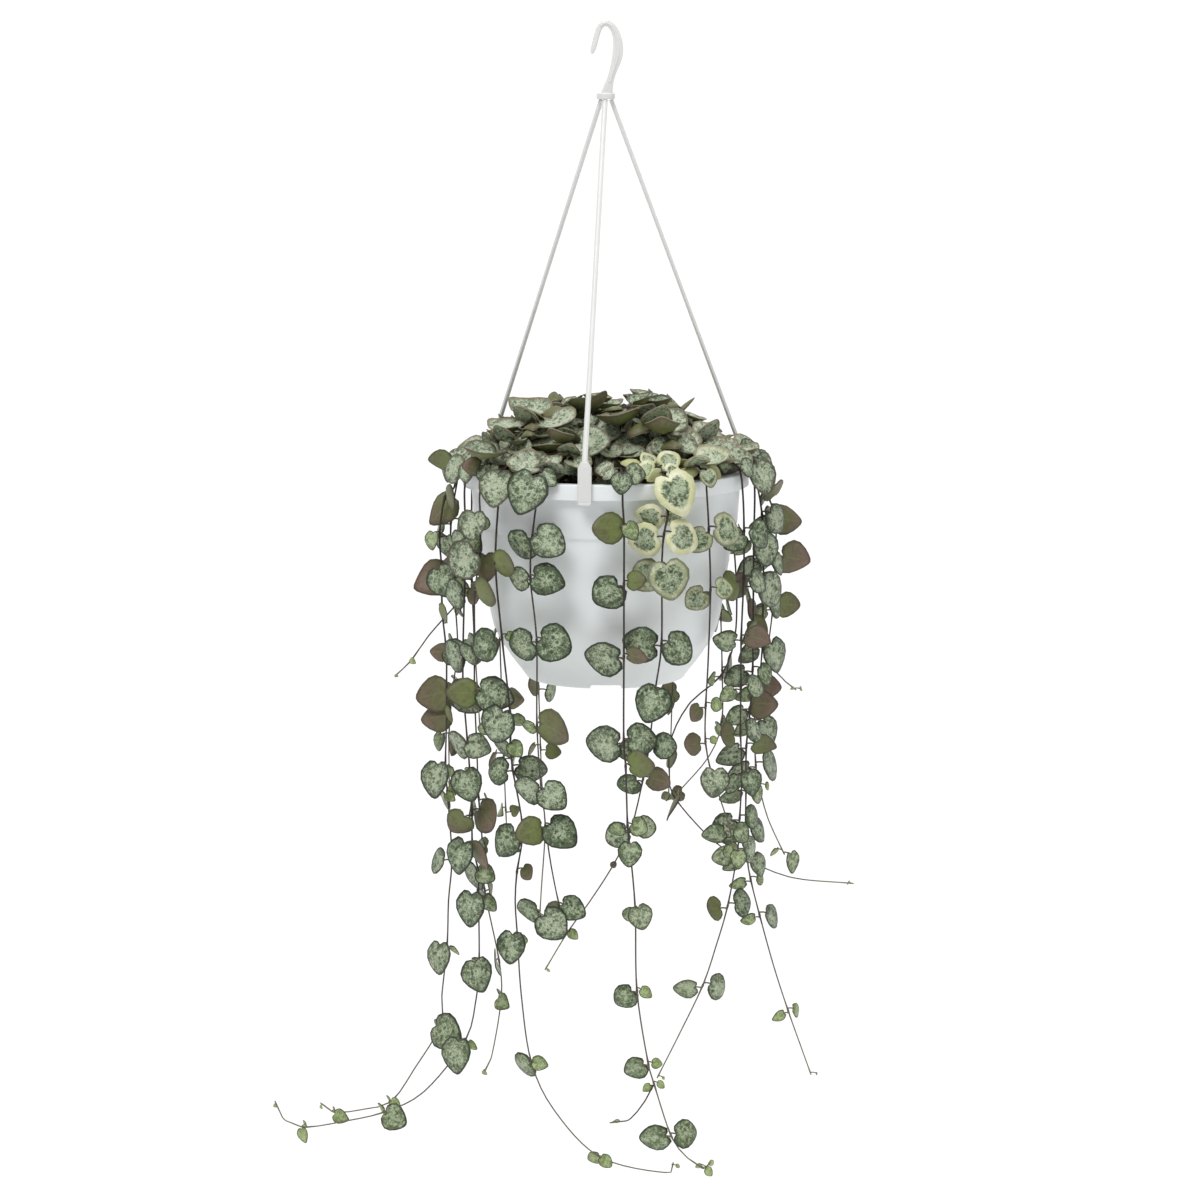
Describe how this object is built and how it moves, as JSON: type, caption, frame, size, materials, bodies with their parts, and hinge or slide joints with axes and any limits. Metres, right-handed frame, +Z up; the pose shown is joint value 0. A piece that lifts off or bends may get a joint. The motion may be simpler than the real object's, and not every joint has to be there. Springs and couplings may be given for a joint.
{
  "type": "string of hearts in a hanging pot",
  "caption": "Trailing houseplant with paired heart-shaped leaves on thin hanging vines, in a round moulded pot of potting soil under a hook with three straight strands.",
  "frame": {"origin": "the point of the hook's inside curve that bears on whatever holds the pot up", "axes": "+Z up, the front towards -Y, +X to the right as seen from the front"},
  "size_m": [0.3142, 0.1769, 0.6039],
  "materials": {
    "hanger": "white moulded plastic, smooth with a soft shine",
    "pot": "white moulded plastic, smooth with a soft shine",
    "soil": "dark crumbly potting soil, matt",
    "vine_leaves": "grey-green leaves marbled silver, dark purple-grey stems, slightly waxy",
    "crown_leaves": "paler silver-green leaves, olive undersides, slightly waxy"
  },
  "bodies": {
    "root": {"hanger_hook": "hanger", "hanger_strand_front": "hanger", "hanger_strand_right": "hanger", "hanger_strand_left": "hanger", "pot": "pot", "soil": "soil", "vine_front_left": "vine_leaves", "vine_left_long": "vine_leaves", "vine_left_short": "vine_leaves", "vine_left_far": "vine_leaves", "vine_left_outer": "vine_leaves", "vine_left_back": "vine_leaves", "vine_left_inner": "vine_leaves", "vine_left_rear": "vine_leaves", "vine_rear_left": "vine_leaves", "vine_rear_short": "vine_leaves", "vine_rear_middle": "vine_leaves", "vine_rear_right": "vine_leaves", "vine_right_rear": "vine_leaves", "vine_right_back": "vine_leaves", "vine_right_outer": "vine_leaves", "vine_right_side": "vine_leaves", "vine_right_middle": "vine_leaves", "vine_right_near": "vine_leaves", "vine_right_front": "vine_leaves", "vine_front_right": "vine_leaves", "vine_front": "vine_leaves", "crown_shoot_1": "crown_leaves", "crown_shoot_2": "crown_leaves", "crown_shoot_3": "crown_leaves", "crown_shoot_4": "crown_leaves", "crown_shoot_5": "crown_leaves", "crown_shoot_6": "crown_leaves", "crown_shoot_7": "crown_leaves", "crown_shoot_8": "crown_leaves", "crown_shoot_9": "crown_leaves", "crown_shoot_10": "crown_leaves", "crown_shoot_11": "crown_leaves", "crown_shoot_12": "crown_leaves"}
  },
  "joints": []
}
